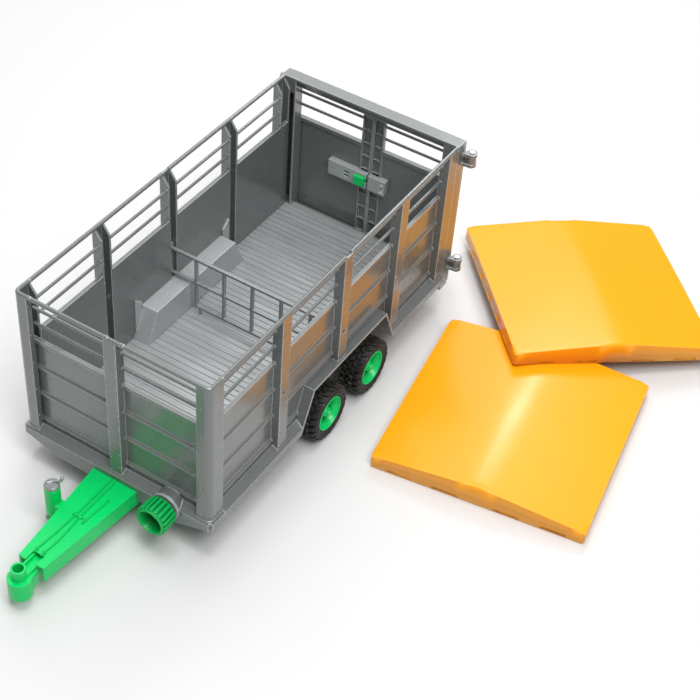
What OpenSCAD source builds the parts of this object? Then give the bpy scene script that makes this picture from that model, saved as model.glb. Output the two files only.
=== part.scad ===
// Toy livestock trailer: an open slatted body with two rear doors, a lift-out
// dividing gate, a tandem axle that lowers, a drawbar with a jockey leg, and a
// roof in two lift-off halves that lie beside it.
// Millimetres. +X points forward, +Y to the trailer's left, +Z up.
// The modules are drawn with x = 0 at the front posts' outer face and z = 0 at
// the ground, and from_hitch() moves the whole model so that the middle of the
// hitch eye's bore is the origin.

/* [Body] */
// Length over the front and rear posts
body_l = 352; // [330:1:420]
// Width over the side posts
body_w = 172; // [150:1:210]
// Height from the sill's underside to the top of the rim
body_h = 144; // [130:1:180]
// Height of the sill's underside above the ground
sill_z = 30; // [28:1:34]
// Thickness of the moulded walls
wall_t = 1.6; // [1.2:0.1:2.2]
// Width of a post's outer face
post_w = 11; // [8:0.5:14]
// How far the posts stand out from the panels
post_d = 7; // [5:0.5:9]
// Width of each face of a corner post
corner_w = 16; // [13:0.5:20]
// Radius of the body's rounded upright corners
corner_r = 5; // [3:0.5:8]
// How far a post's inner top is cut down on a slant below the rim
top_slant = 11; // [4:1:14]
// Height of the small latch notches in two posts above the ground
notch_z = 96; // [80:1:110]
// Distance between the side posts' centres
post_pitch = 82.5; // [74:0.5:90]

/* [Panels] */
// Height of the panels' top edge above the sill's underside
panel_h = 99; // [90:1:110]
// Height of the ledge along the panels' top edge
ledge_h = 3.5; // [2:0.5:5]
// Diameter of the round bars between the panels and the rim
bar_d = 2.6; // [1.6:0.1:3.4]
// Number of round bars in each bay
bar_count = 2; // [1:1:3]
// Diameter of the rim's bead
rim_d = 3.4; // [2.4:0.1:4.5]
// Number of ribs across each panel
rib_count = 3; // [1:1:3]
// Distance between the ribs
rib_pitch = 27.5; // [20:0.5:29]
// How far a rib stands out from its panel
rib_d = 1.6; // [0.8:0.1:2.5]
// Height of the sill's outer face
sill_h = 6; // [4:0.5:8]
// How far the sill stands out beyond the posts
sill_out = 2.5; // [1:0.5:4]

/* [Floor] */
// Height of the floor's top above the ground
floor_z = 40; // [40:0.5:43]
// Thickness of the floor
floor_t = 2; // [1.5:0.1:2.5]
// Distance between the floor's cross grooves
slat_pitch = 6; // [4:0.5:12]
// Width and depth of a groove
groove_w = 0.8; // [0.5:0.1:1.2]

/* [Wheel arches] */
// Distance from the front posts' face back to the middle of the arches
arch_x = 187; // [180:1:195]
// Length of an arch along its flat top
arch_top_l = 106; // [98:1:112]
// Length of an arch along the sill's underside
arch_foot_l = 138; // [128:1:144]
// Height of an arch's top above the ground
arch_top_z = 66; // [64:1:70]
// Distance from the panel's outer face in to the wheel box's inner face
box_d = 17; // [15:0.5:20]

/* [Wheels] */
// Outer diameter of a tyre
tyre_d = 50; // [46:0.5:52]
// Width of a tyre
tyre_w = 19; // [14:0.5:20]
// Outer diameter of a wheel's rim
rim_od = 31; // [26:0.5:34]
// Distance between the two axles
axle_gap = 64; // [56:0.5:66]
// How far the tyres stand out beyond the posts
tyre_out = 6.5; // [0:0.5:12]
// Diameter of the steel axle rods
rod_d = 4; // [3:0.5:5]
// Radial clearance of every turning or sliding fit
fit_gap = 0.06; // [0.03:0.01:0.1]

/* [Lowering gear] */
// How far the body lowers over its axles
lower_travel = 9; // [6:0.5:9]
// Turn of the knob over that travel, in degrees
knob_turn = 90; // [80:5:120]
// Diameter of the knob
knob_d = 27; // [20:0.5:32]
// Length of the knob
knob_l = 17; // [12:0.5:22]
// Distance of the knob's axis to the left of the middle
knob_y = 48; // [44:1:52]
// Height of the knob's axis above the ground
knob_z = 34; // [33:0.5:35]
// Diameter of the shaft behind the knob
shaft_d = 4.4; // [3:0.2:5]

/* [Drawbar] */
// Distance from the front posts' face forward to the hitch eye's axis
hitch_reach = 110; // [95:1:140]
// Width of the drawbar at the body
draw_root_w = 41; // [36:1:48]
// Width of the drawbar at its front end
draw_tip_w = 22.5; // [20:0.5:28]
// Height of the drawbar
draw_h = 15; // [12:0.5:18]
// Height of the drawbar's top above the ground
draw_z = 31; // [29:0.5:32]
// Radius of the hitch eye's bore
eye_bore_r = 4; // [3:0.1:5]
// Radius of the hitch eye's neck
eye_neck_r = 5.5; // [5.2:0.1:8]
// Radius of the hitch eye's base
eye_base_r = 9; // [8:0.5:12]
// Height of the hitch eye's underside above the ground
eye_low_z = 10; // [9.5:0.5:12]
// Height of the hitch eye's top above the ground
eye_top_z = 37; // [34:0.5:42]

/* [Jockey leg] */
// Distance of the leg's axis ahead of the front posts' face
leg_x = 43; // [36:1:52]
// Distance of the leg's axis to the right of the middle
leg_y = 25; // [24:0.5:28]
// Outer radius of the leg's sleeve
sleeve_r = 6.1; // [5:0.1:6.5]
// Radius of the leg
leg_r = 3.6; // [3:0.1:4]
// How far the leg winds down
leg_travel = 9.5; // [9:0.5:11]
// Radius of the crank from its axis to its handle
crank_r = 8; // [6:0.5:11]

/* [Doors] */
// Thickness of a door leaf
leaf_t = 4; // [3:0.1:5]
// Height of the doors' lower edge above the ground
leaf_low_z = 21; // [18:0.5:24]
// Width of a door's upright stiles
stile_w = 10; // [8:0.5:13]
// Distance of a hinge pin outward from the side posts' face
pin_out = 6; // [5.5:0.1:7]
// Radius of a hinge pin
pin_r = 1.5; // [1.2:0.1:2]
// Height of the lower hinges above the ground
hinge_low_z = 45; // [44:0.5:60]
// Height of the upper hinges below the rim
hinge_top_drop = 17; // [14:0.5:30]
// Height of the bolt's middle below the panels' top edge
bolt_drop = 35; // [20:1:45]
// How far the door bolt slides
bolt_travel = 6; // [4:0.5:8]

/* [Dividing gate] */
// Height of the gate's lower bar above the floor
gate_low = 7; // [5:0.5:10]
// Height of the gate's top bar above the floor
gate_h = 57; // [45:1:75]
// Thickness of the gate's bars
gate_bar = 2.4; // [1.6:0.1:3]

/* [Roof] */
// Length of one roof half along its ridge
roof_l = 180; // [170:1:215]
// Width of a roof half
roof_w = 178; // [176:1:216]
// Height of a roof half's skirt
roof_skirt = 12; // [9:0.5:15]
// Rise of the ridge above the skirt's top
roof_rise = 7.5; // [4:0.5:12]
// Thickness of the roof's shell
roof_t = 2; // [1.5:0.1:2.5]

/* [Hidden] */
$fn = 48;
silver = [0.55, 0.57, 0.57];
green = [0.0, 0.72, 0.33];
orange = [1.0, 0.68, 0.12];
black = [0.12, 0.12, 0.12];
steel = [0.75, 0.76, 0.78];

origin_z = (eye_low_z + eye_top_z) / 2;

// Levels above the ground
sill_top = sill_z + sill_h;
ledge_foot = sill_top + 5;
panel_top = sill_z + panel_h;
rim_top = sill_z + body_h;
bar_gap = (rim_top - panel_top) / (bar_count + 1);
floor_low = floor_z - floor_t;

// Planes across and along the body
post_y = body_w / 2;
panel_y = post_y - post_d;
inner_y = panel_y - wall_t;
sill_y = post_y + sill_out;
box_y = panel_y - box_d;
front_in = -post_d - wall_t;
column_w = 14;
column_d = 11;
rear_x = -body_l;
side_rear_x = rear_x + column_d;
rear_post_w = 13;
rear_foot_drop = 10;
mid_x = -body_l / 2;
side_posts = [for (i = [-1:1]) mid_x - i * post_pitch];
window_ends = concat([-corner_w], [for (x = side_posts) each [x + post_w / 2, x - post_w / 2]],
                     [side_rear_x + rear_post_w]);
front_half = post_y - corner_w + 4;
front_ends = [front_half, post_w / 2, -post_w / 2, -front_half];

// The front apron, which the drawbar passes through
apron_drop = 8.5;
apron_half = 58;
apron_t = 3;

// Round boss on the front wall behind the knob
boss_d = knob_d - 3;

// Wheels and axles
arch_mid = -arch_x;
axle_z = tyre_d / 2;
axles = [arch_mid + axle_gap / 2, arch_mid - axle_gap / 2];
wheel_out = post_y + tyre_out;
wheel_in = wheel_out - tyre_w;
hub_bore_r = rod_d / 2 + fit_gap;
rod_half = wheel_out - 4;

// Carriage that carries both axles and slides up its four guide pins
deck_half = wheel_in - 3;
beam_l = 12;
beam_low = axle_z - 4;
beam_top = axle_z + 3.4;
guide_y = 36;
guide_dx = axle_gap / 2 - 11;
guide_r = 2.5;
guide_low = beam_low - 0.3;
side_beam_y = guide_y;

// Rack and pinion: the rack's travel sets the pinion's pitch circle
pinion_teeth = 12;
pinion_r = lower_travel / (knob_turn * PI / 180);
tooth_pitch = 2 * PI * pinion_r / pinion_teeth;
tooth_up = 0.26 * tooth_pitch;
tooth_down = 0.36 * tooth_pitch;
pinion_x = axles[0] + beam_l / 2 + 26;
pinion_l = 8;
rack_y = knob_y + pinion_r;
rack_t = 3;
rack_top = knob_z + 2.2 * tooth_pitch / 2;
rack_foot = beam_low;
cover_top = rack_top + lower_travel + 1 + wall_t;
cover_x = pinion_l / 2 + 2 + wall_t;
cover_y0 = knob_y - pinion_r - tooth_up - 1.2 - wall_t;
cover_y1 = box_y - 0.3;

// Doors
leaf_gap = 0.4;
leaf_x = rear_x - leaf_gap;
leaf_top_z = rim_top - 3;
leaf_y0 = 0.6;
leaf_y1 = post_y - 1;
pin_x = leaf_x - leaf_t / 2 - 0.2;
pin_y = post_y + pin_out;
hinge_zs = [hinge_low_z, rim_top - hinge_top_drop];
knuckle_h = 6;
lug_t = 3;
lug_gap = 0.3;
lug_r = pin_r + 3;
bolt_z = panel_top - bolt_drop;
bolt_w = 6;
bolt_l = 30;
bolt_y = 1.5;
bolt_t = 2.6;
bolt_run = 0.15;
latch_h = 15;
guide_l = bolt_y + bolt_l + 8;
keeper_l = 18;
leaf_window = [13, 16.5];

// Dividing gate in the middle posts' channels
channel_w = post_w - 2 * wall_t;
gate_tip_y = post_y - wall_t - 0.6;
gate_uprights = 5;
gate_half = box_y - 7;
gate_seat_z = arch_top_z + wall_t + 0.3;

// Roof halves, lying on the ground beside the trailer
roof_crease = 1.5;
roof_inner = roof_w / 2 - roof_t;
near_at = [rear_x + 206, post_y + 50, 0];
near_turn = 8.6;
far_at = [rear_x - 194, post_y + 111, 0];
far_turn = 41.6;
far_lean = 45;
far_tilt = 4.93;

// ---- Shared helpers ----

module from_hitch() {
    translate([-hitch_reach, 0, -origin_z]) children();
}

// A box given by its two corners
module span(a, b) {
    translate([min(a[0], b[0]), min(a[1], b[1]), min(a[2], b[2])])
        cube([abs(a[0] - b[0]), abs(a[1] - b[1]), abs(a[2] - b[2])]);
}

// An outline in (x, z) given depth along y, from y0 to y1
module along_y(y0, y1) {
    translate([0, max(y0, y1), 0]) rotate([90, 0, 0]) linear_extrude(abs(y1 - y0)) children();
}

// An outline in (y, z) given depth along x, from x0 to x1
module along_x(x0, x1) {
    translate([min(x0, x1), 0, 0]) rotate([90, 0, 90]) linear_extrude(abs(x1 - x0)) children();
}

module bar_x(x0, x1, y, z, d) {
    translate([min(x0, x1), y, z]) rotate([0, 90, 0]) cylinder(h = abs(x1 - x0), d = d);
}

module bar_y(y0, y1, x, z, d) {
    translate([x, min(y0, y1), z]) rotate([-90, 0, 0]) cylinder(h = abs(y1 - y0), d = d);
}

module left_to_right() {
    mirror([0, 1, 0]) children();
}

// ---- Walls ----

// A panel's section: u runs outward from the panel's outer face, v is height.
// The sill turns out at the foot, the ribs and the top ledge stand out above it.
function rib_points(z) = [[rib_d, z - 2.2], [rib_d, z - 0.4], [0, z + 1.6]];
function rib_undercut(z) = [[0, z - 2.2]];
function panel_outline() = concat(
    [[-wall_t, sill_z], [post_d + sill_out, sill_z], [post_d + sill_out, sill_top],
     [rib_d + 0.6, ledge_foot], [0, ledge_foot]],
    [for (i = [rib_count:-1:1]) each concat(rib_undercut(panel_top - i * rib_pitch),
                                            rib_points(panel_top - i * rib_pitch))],
    [[0, panel_top - ledge_h], [rib_d, panel_top - ledge_h], [rib_d, panel_top],
     [-wall_t, panel_top]]);

// The arch's outline in (x, z), grown outward by g on its top and slanted ends
arch_run = (arch_foot_l - arch_top_l) / 2 / (arch_top_z - sill_z);
function arch_half(z, g) = arch_foot_l / 2 - arch_run * (z - sill_z) + g * sqrt(1 + arch_run * arch_run);
function arch_outline(foot, g) = [
    [arch_mid - arch_half(foot, g), foot], [arch_mid + arch_half(foot, g), foot],
    [arch_mid + arch_half(arch_top_z + g, g), arch_top_z + g],
    [arch_mid - arch_half(arch_top_z + g, g), arch_top_z + g]];

// The inner top of a post that is cut off on a slant, so that the post ends under the rim
function top_cut(inner, outer) = [
    [inner - 1, rim_top + 1], [outer - 0.7 * rim_d, rim_top + 1],
    [outer - 0.7 * rim_d, rim_top - 0.6 * rim_d], [inner - 1, rim_top - rim_d / 2 - top_slant]];

// One hat-section post of a side wall: a channel that is open to the inside
module side_post(x, w) {
    difference() {
        span([x - w / 2, inner_y, ledge_foot - 3], [x + w / 2, post_y, rim_top - rim_d / 2]);
        span([x - w / 2 + wall_t, inner_y - 1, floor_z], [x + w / 2 - wall_t, post_y - wall_t, rim_top]);
        along_x(x - w / 2 - 1, x + w / 2 + 1) polygon(top_cut(inner_y, post_y));
    }
}

// Small latch notch in a post's outer face
module latch_notch(x) {
    span([x - 2, post_y - wall_t - 1, notch_z - 2], [x + 2, post_y + 1, notch_z + 2]);
}

module side_wall() color(silver) {
    difference() {
        union() {
            difference() {
                translate([0, panel_y, 0]) along_x(-corner_w, side_rear_x) polygon(panel_outline());
                for (x = side_posts)
                    span([x - channel_w / 2, inner_y - 1, floor_z],
                         [x + channel_w / 2, panel_y + rib_d + 1, rim_top]);
            }
            for (x = side_posts) side_post(x, post_w);
            side_post(side_rear_x + rear_post_w / 2, rear_post_w);
            along_y(inner_y, sill_y) polygon(arch_outline(sill_z, wall_t));
        }
        along_y(inner_y - 1, sill_y + 1) polygon(arch_outline(sill_z - 1, 0));
        latch_notch(side_posts[0]);
        latch_notch(side_posts[1]);
    }
    for (i = [0:3], k = [1:bar_count])
        bar_x(min(-corner_w, window_ends[2 * i] + 0.4), window_ends[2 * i + 1] - 0.4,
              panel_y, panel_top + k * bar_gap, bar_d);
    for (half = [[-corner_w, mid_x + channel_w / 2], [mid_x - channel_w / 2, side_rear_x]])
        bar_x(half[0], half[1], post_y - rim_d / 2, rim_top - rim_d / 2, rim_d);
}

// The front wall wraps round both front corners
module corner_post() {
    difference() {
        union() {
            span([-corner_w, post_y - wall_t, sill_top - 1], [-corner_r, post_y, rim_top - rim_d / 2]);
            span([-wall_t, post_y - corner_w + 4, sill_top - 1], [0, post_y - corner_r, rim_top - rim_d / 2]);
            translate([-corner_r, post_y - corner_r, sill_top - 1])
                cylinder(h = rim_top - rim_d / 2 - sill_top + 1, r = corner_r);
            span([-corner_w, inner_y, sill_top - 1], [-corner_w + wall_t, post_y, rim_top - rim_d / 2]);
            span([front_in, front_half, sill_top - 1], [0, front_half + wall_t, rim_top - rim_d / 2]);
        }
        translate([-corner_r, post_y - corner_r, 0]) cylinder(h = rim_top, r = corner_r - wall_t);
        span([-corner_w + wall_t, inner_y - 4, 0], [-corner_r, post_y - wall_t, rim_top]);
        span([front_in - 1, front_half + wall_t, 0], [-wall_t, post_y - corner_r, rim_top]);
        span([-corner_w + wall_t, front_half + wall_t, 0], [-corner_r, post_y - corner_r, rim_top]);
        along_x(-corner_w - 1, -corner_w + wall_t + 1) polygon(top_cut(inner_y, post_y));
        along_y(front_half - 1, front_half + wall_t + 1) polygon(top_cut(front_in, 0));
    }
}

module front_post() {
    difference() {
        span([front_in, -post_w / 2, ledge_foot - 3], [0, post_w / 2, rim_top - rim_d / 2]);
        span([front_in - 1, -channel_w / 2, floor_z], [-wall_t, channel_w / 2, rim_top]);
        along_y(-post_w / 2 - 1, post_w / 2 + 1) polygon(top_cut(front_in, 0));
    }
}

// The rim's bead, with its quarter turns round the two front corners
module front_rim() {
    bead_r = corner_r - rim_d / 2;
    bar_y(-post_y + corner_r, post_y - corner_r, -rim_d / 2, rim_top - rim_d / 2, rim_d);
    for (side = [-1, 1]) {
        translate([-corner_r, side * (post_y - corner_r), rim_top - rim_d / 2])
            rotate([0, 0, side > 0 ? 0 : -90])
                rotate_extrude(angle = 90) translate([bead_r, 0]) circle(d = rim_d);
        bar_x(-corner_w, -corner_r, side * (post_y - rim_d / 2), rim_top - rim_d / 2, rim_d);
    }
    for (y = [-post_y + 13, -post_w / 2 + 1, post_w / 2 + 4])
        bar_y(y, y + 2.5, -rim_d / 2, rim_top - rim_d / 2 + 0.5, rim_d);
}

module front_wall() color(silver) {
    difference() {
        union() {
            difference() {
                translate([-post_d, 0, 0]) rotate([0, 0, -90])
                    along_x(-sill_y + corner_r / 2, sill_y - corner_r / 2) mirror([1, 0, 0]) polygon(
                        [for (p = panel_outline()) [-p[0], p[1]]]);
                for (side = [0, 1]) mirror([0, side, 0])
                    span([rib_d, inner_y, sill_top + 1.5], [front_in - 1, sill_y, rim_top]);
            }
            for (side = [0, 1]) mirror([0, side, 0]) {
                corner_post();
                translate([0, panel_y, 0]) along_x(-corner_w, -corner_r / 2 + sill_out)
                    polygon([[-wall_t, sill_z], [post_d + sill_out, sill_z], [post_d + sill_out, sill_top],
                             [post_d, sill_top + 1.5], [-wall_t, sill_top + 1.5]]);
            }
            along_x(sill_out - apron_t, sill_out)
                polygon([[-post_y + 3, sill_z], [-apron_half, sill_z - apron_drop],
                         [apron_half, sill_z - apron_drop], [post_y - 3, sill_z],
                         [post_y - 3, sill_top - 1], [-post_y + 3, sill_top - 1]]);
            bar_x(-post_d - 0.5, sill_out, knob_y, knob_z, boss_d);
        }
        span([front_in - 1, -channel_w / 2, floor_z], [-post_d + rib_d + 1, channel_w / 2, rim_top]);
        span([-30, -draw_root_w / 2 - 0.2, 0], [sill_out + 1, draw_root_w / 2 + 0.2, draw_z + 0.2]);
        bar_x(-30, 10, knob_y, knob_z, shaft_d + 2 * fit_gap + 2);
    }
    front_post();
    for (side = [0, 1], k = [1:bar_count]) mirror([0, side, 0])
        bar_y(front_ends[0] + 0.4, front_ends[1] - 0.4, -post_d, panel_top + k * bar_gap, bar_d);
    front_rim();
}

// ---- Floor, wheel boxes and chassis ----

module floor_outline() {
    x0 = rear_x + column_d - 5;
    x1 = front_in - 0.1;
    n = floor((x1 - x0 - 4) / slat_pitch);
    polygon(concat(
        [[x0, floor_low], [x1, floor_low], [x1, floor_z]],
        [for (i = [0:n - 1]) let (x = x1 - 3 - i * slat_pitch)
            each [[x, floor_z], [x, floor_z - groove_w], [x - groove_w, floor_z - groove_w],
                  [x - groove_w, floor_z]]],
        [[x0, floor_z]]));
}

module floor_pan() color([0.66, 0.68, 0.68]) difference() {
    along_y(-inner_y + 0.1, inner_y - 0.1) floor_outline();
    for (side = [-1, 1])
        span([arch_mid - arch_half(floor_low, wall_t) - 0.1, side * (box_y - 0.1), 0],
             [arch_mid + arch_half(floor_low, wall_t) + 0.1, side * post_y, floor_z + 1]);
    span([pinion_x - cover_x + wall_t, cover_y0 + wall_t, 0],
         [pinion_x + cover_x - wall_t, cover_y1 - wall_t, floor_z + 1]);
    for (side = [-1, 1])
        span([rear_x, side * (post_y - column_w - 0.1), 0], [side_rear_x + 0.1, side * post_y, floor_z + 1]);
}

module wheel_box() color([0.6, 0.62, 0.62]) {
    difference() {
        along_y(box_y, inner_y) polygon(arch_outline(floor_low, wall_t));
        along_y(box_y + wall_t, post_y) polygon(arch_outline(floor_low - 1, 0));
    }
    for (end = [-1, 1]) let (near = arch_half(arch_top_z, 0) + 3, far = near + 8)
        along_y(inner_y - 1.4, inner_y) polygon([
            [arch_mid + end * near, floor_z + 6], [arch_mid + end * near, arch_top_z + 7],
            [arch_mid + end * far, arch_top_z + 14], [arch_mid + end * far, floor_z + 6]]);
}

module gear_cover() color([0.6, 0.62, 0.62]) difference() {
    span([pinion_x - cover_x, cover_y0, floor_z], [pinion_x + cover_x, cover_y1, cover_top]);
    span([pinion_x - cover_x + wall_t, cover_y0 + wall_t, floor_z - 1],
         [pinion_x + cover_x - wall_t, cover_y1 - wall_t, cover_top - wall_t]);
}

module chassis() color([0.4, 0.41, 0.41]) {
    spine_y = draw_root_w / 2 + 4;
    spine_rear = rear_x + 5.1;
    gap_front = arch_mid + axle_gap / 2 + beam_l / 2 + 4;
    gap_rear = arch_mid - axle_gap / 2 - beam_l / 2 - 4;
    difference() {
        union() {
            for (side = [-1, 1]) {
                span([front_in - 0.1, side * spine_y, sill_z - 5], [gap_front, side * (spine_y + 5), floor_low]);
                span([gap_rear, side * spine_y, sill_z - 5], [spine_rear, side * (spine_y + 5), floor_low]);
            }
            span([gap_front, -spine_y, sill_z - 3], [gap_front + 4, spine_y, floor_low]);
            span([gap_rear - 4, -spine_y, sill_z - 3], [gap_rear, spine_y, floor_low]);
            span([spine_rear, -spine_y, sill_z - 5], [spine_rear + 4, spine_y, floor_low]);
            for (x = [-30, -80]) span([x, knob_y - 5, knob_z - 4.6], [x - 4, knob_y + 5, floor_low]);
            for (x = [-30, -80]) span([x, spine_y + 4, floor_low - 4], [x - 4, knob_y - 4, floor_low]);
        }
        bar_x(-100, 10, knob_y, knob_z, shaft_d + 2 * fit_gap);
    }
}

module chassis_screws() color(steel)
    for (side = [-1, 1], x = [-12, -100, -270, -335])
        translate([x, side * (draw_root_w / 2 + 6.5), sill_z - 6.2]) difference() {
            cylinder(h = 1.2, r = 2.2);
            for (a = [0, 90]) rotate([0, 0, a]) translate([-1.4, -0.3, -1]) cube([2.8, 0.6, 1.6]);
        }

// ---- Lowering gear ----

// A gear outline: each tooth tapers from its root to its tip
module gear_outline(n, root_r, tip_r) {
    step = 360 / n;
    polygon([for (i = [0:n - 1], p = [[-0.30, root_r], [-0.11, tip_r], [0.11, tip_r], [0.30, root_r]])
        p[1] * [cos((i + p[0]) * step), sin((i + p[0]) * step)]]);
}

module knob_bearing() color([0.5, 0.52, 0.52]) difference() {
    union() {
        bar_x(sill_out, sill_out + 1.6, knob_y, knob_z, boss_d);
        bar_x(sill_out, sill_out + 2.6, knob_y, knob_z, 12);
    }
    bar_x(-1, 20, knob_y, knob_z, shaft_d + 2 * fit_gap);
}

module lowering_knob() color(green) {
    x0 = sill_out + 3;
    x1 = x0 + knob_l;
    ribs = 22;
    difference() {
        union() {
            bar_x(x0, x1, knob_y, knob_z, knob_d - 2);
            translate([x0, knob_y, knob_z]) rotate([0, 90, 0]) for (i = [0:ribs - 1])
                rotate([0, 0, i * 360 / ribs]) translate([knob_d / 2 - 1.6, -0.9, 1]) cube([1.6, 1.8, knob_l - 3]);
        }
        bar_x(x0 + 2.5, x1 + 1, knob_y, knob_z, knob_d - 5.5);
        bar_x(x0 - 1, x1, knob_y, knob_z, shaft_d + 0.04);
    }
    difference() {
        union() {
            bar_x(x0, x0 + 9, knob_y, knob_z, shaft_d + 3.6);
            span([x0 + 2, knob_y - knob_d / 2 + 2, knob_z - 0.8], [x0 + 7, knob_y + knob_d / 2 - 2, knob_z + 0.8]);
            span([x0 + 2, knob_y - 0.8, knob_z - knob_d / 2 + 2], [x0 + 7, knob_y + 0.8, knob_z + knob_d / 2 - 2]);
        }
        bar_x(x0 - 1, x1, knob_y, knob_z, shaft_d + 0.04);
    }
}

module lowering_shaft() color(steel) {
    bar_x(pinion_x - pinion_l / 2 - 1, sill_out + 3 + 8, knob_y, knob_z, shaft_d);
    translate([pinion_x - pinion_l / 2, knob_y, knob_z]) rotate([90, 0, 90])
        linear_extrude(pinion_l) gear_outline(pinion_teeth, pinion_r - tooth_down, pinion_r + tooth_up);
}

// The rack's teeth face the pinion. The gap between two of them is level with the shaft.
module lowering_rack() color([0.3, 0.31, 0.31]) {
    n = ceil((rack_top - rack_foot) / tooth_pitch);
    root_y = rack_y + tooth_down;
    span([pinion_x - pinion_l / 2, root_y, rack_foot], [pinion_x + pinion_l / 2, root_y + rack_t, rack_top]);
    for (i = [-n:2]) let (z = knob_z + (i + 0.5) * tooth_pitch)
        if (z > rack_foot + tooth_pitch / 2 && z < rack_top - tooth_pitch / 3)
            along_x(pinion_x - pinion_l / 2, pinion_x + pinion_l / 2)
                polygon([[root_y + 0.2, z - 0.29 * tooth_pitch], [rack_y - tooth_up, z - 0.12 * tooth_pitch],
                         [rack_y - tooth_up, z + 0.12 * tooth_pitch], [root_y + 0.2, z + 0.29 * tooth_pitch]]);
}

module guide_pins() color(steel)
    for (side = [-1, 1], end = [-1, 1])
        translate([arch_mid + end * guide_dx, side * guide_y, 0]) {
            translate([0, 0, guide_low]) cylinder(h = floor_low - guide_low, r = guide_r);
            translate([0, 0, guide_low - 1.6]) cylinder(h = 1.6, r = guide_r + 1.8);
        }

module axle_carriage() color([0.35, 0.36, 0.36]) difference() {
    arm_y = rack_y + tooth_down + rack_t;
    union() {
        for (x = axles) span([x - beam_l / 2, -deck_half, beam_low], [x + beam_l / 2, deck_half, beam_top]);
        for (side = [-1, 1])
            span([axles[1], side * (side_beam_y - 5), beam_low], [axles[0], side * (side_beam_y + 5), beam_top]);
        span([axles[0], arm_y, beam_low], [pinion_x + pinion_l / 2, arm_y + 3, beam_top]);
    }
    for (side = [-1, 1], end = [-1, 1])
        translate([arch_mid + end * guide_dx, side * guide_y, 0]) cylinder(h = floor_z, r = guide_r + fit_gap);
    for (x = axles) bar_y(-post_y, post_y, x, axle_z, rod_d);
}

module axle_rod(x) color(steel) bar_y(-rod_half, rod_half, x, axle_z, rod_d);

// ---- Wheels, drawn about the axle's own axis with the outer face at +Y ----

module on_axle(x, side) {
    translate([x, 0, axle_z]) mirror([0, side > 0 ? 0 : 1, 0])
        translate([0, wheel_in, 0]) rotate([-90, 0, 0]) children();
}

module tyre() color(black) {
    lug_count = 20;
    rotate_extrude() polygon([
        [rim_od / 2, 1.5], [rim_od / 2 + 2, 0.4], [tyre_d / 2 - 4, 0], [tyre_d / 2 - 1.2, 1.6],
        [tyre_d / 2 - 1.2, tyre_w - 1.6], [tyre_d / 2 - 4, tyre_w], [rim_od / 2 + 2, tyre_w - 0.4],
        [rim_od / 2, tyre_w - 1.5]]);
    intersection() {
        difference() {
            cylinder(h = tyre_w, r = tyre_d / 2);
            translate([0, 0, -1]) cylinder(h = tyre_w + 2, r = tyre_d / 2 - 2);
        }
        for (i = [0:lug_count - 1]) rotate([0, 0, i * 360 / lug_count]) {
            translate([tyre_d / 2 - 3, -2.2, 1.4]) cube([4, 4.4, tyre_w / 2 - 2]);
            rotate([0, 0, 180 / lug_count])
                translate([tyre_d / 2 - 3, -2.2, tyre_w / 2 + 0.6]) cube([4, 4.4, tyre_w / 2 - 2]);
        }
    }
}

module rim() color(green) {
    lip = rim_od / 2;
    hub_r = 5.5;
    nuts = 6;
    rotate_extrude() polygon([
        [hub_bore_r, 2], [hub_r, 2], [hub_r, tyre_w - 8.4], [lip - 4.5, tyre_w - 8.4], [lip - 3, tyre_w - 12],
        [lip - 3, 2], [lip - 0.02, 2], [lip - 0.02, tyre_w - 1.2], [lip - 1.6, tyre_w - 0.6],
        [lip - 2.6, tyre_w - 2], [lip - 4.2, tyre_w - 6.6], [hub_r, tyre_w - 6.6],
        [hub_r - 0.6, tyre_w - 5], [hub_bore_r, tyre_w - 5]]);
    for (i = [0:nuts - 1]) rotate([0, 0, i * 360 / nuts])
        translate([7.8, 0, tyre_w - 6.8]) cylinder(h = 1.3, r = 1, $fn = 6);
}

module hub_cap() color(green) translate([0, 0, tyre_w - 5]) difference() {
    union() {
        cylinder(h = 3.2, r = 3.6);
        translate([0, 0, 3.2]) cylinder(h = 0.8, r = 2.4);
    }
    translate([0, 0, -1]) cylinder(h = 1.3 + rod_half - (wheel_out - 5), r = hub_bore_r);
}

// ---- Drawbar ----

tip_gap = 13;
draw_len = hitch_reach - tip_gap;
function draw_half(x) = draw_root_w / 2 - (draw_root_w - draw_tip_w) / 2 * x / draw_len;

module drawbar() color(green) {
    low = draw_z - draw_h;
    skin = 1.8;
    difference() {
        translate([0, 0, low]) linear_extrude(draw_h)
            polygon([[-22, draw_root_w / 2], [0, draw_root_w / 2], [draw_len, draw_tip_w / 2],
                     [draw_len, -draw_tip_w / 2], [0, -draw_root_w / 2], [-22, -draw_root_w / 2]]);
        translate([0, 0, low - 1]) linear_extrude(draw_h - skin + 1)
            polygon([[-23, draw_root_w / 2 - skin], [0, draw_root_w / 2 - skin],
                     [draw_len + 1, draw_tip_w / 2 - skin], [draw_len + 1, skin - draw_tip_w / 2],
                     [0, skin - draw_root_w / 2], [-23, skin - draw_root_w / 2]]);
        span([draw_len - 9, -5, low - 1], [draw_len + 1, 5, draw_z + 1]);
    }
    for (x = [14, 40, 64]) span([x, -draw_half(x) + 0.5, low + 2], [x + 1.6, draw_half(x) - 0.5, draw_z - 0.5]);
}

// Three moulded hoses with their clamp and end fittings, lying on the drawbar's top
hose_w = 1.7;
hose_h = 1.2;
function unit(v) = v / norm(v);
function across(d) = [-d[1], d[0]];
function heading(points, i) = unit(points[min(i + 1, len(points) - 1)] - points[max(i - 1, 0)]);
module hose_run(points) translate([0, 0, draw_z]) linear_extrude(hose_h)
    polygon(concat(
        [for (i = [0:len(points) - 1]) points[i] + across(heading(points, i)) * hose_w / 2],
        [for (i = [len(points) - 1:-1:0]) points[i] - across(heading(points, i)) * hose_w / 2]));

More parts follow.
